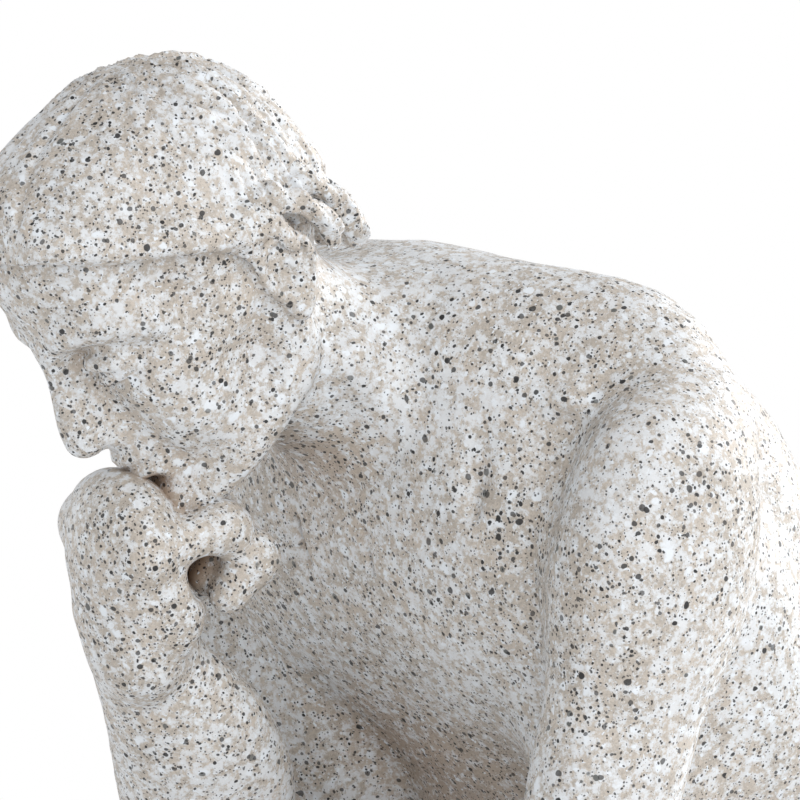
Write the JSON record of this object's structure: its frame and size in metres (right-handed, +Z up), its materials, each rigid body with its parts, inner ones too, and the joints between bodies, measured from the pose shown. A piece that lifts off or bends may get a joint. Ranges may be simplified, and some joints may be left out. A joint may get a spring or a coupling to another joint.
{
  "type": "seated figure statue",
  "caption": "Cast stone-effect tabletop sculpture of a seated pensive figure, chin on a loose fist, on a plain block and plinth.",
  "frame": {"origin": "middle of the resting face, under the felt pads", "axes": "+Z up, the figure faces -Y and its left side is +X"},
  "size_m": [0.16, 0.204, 0.3273],
  "materials": {
    "stone_paint": "satin speckled stone-effect paint on cast stone resin",
    "zinc_steel": "zinc plated",
    "pin_steel": "plain ground steel",
    "brass": "turned",
    "cover_board": "dark greyboard",
    "felt": "pressed felt"
  },
  "bodies": {
    "root": {"head": "stone_paint", "torso": "stone_paint", "right_arm": "stone_paint", "left_arm": "stone_paint", "lower_body": "stone_paint", "seat_block": "stone_paint", "plinth": "stone_paint", "neck_pin": "pin_steel", "right_shoulder_pin": "pin_steel", "left_shoulder_pin": "pin_steel", "right_waist_pin": "pin_steel", "left_waist_pin": "pin_steel", "right_seat_pin": "pin_steel", "left_seat_pin": "pin_steel", "front_block_pin": "pin_steel", "rear_block_pin": "pin_steel", "tie_rod": "zinc_steel", "rod_anchor": "brass", "rod_washer": "zinc_steel", "rod_nut": "zinc_steel", "recess_cover": "cover_board", "front_right_pad": "felt", "front_left_pad": "felt", "rear_right_pad": "felt", "rear_left_pad": "felt"}
  },
  "joints": []
}
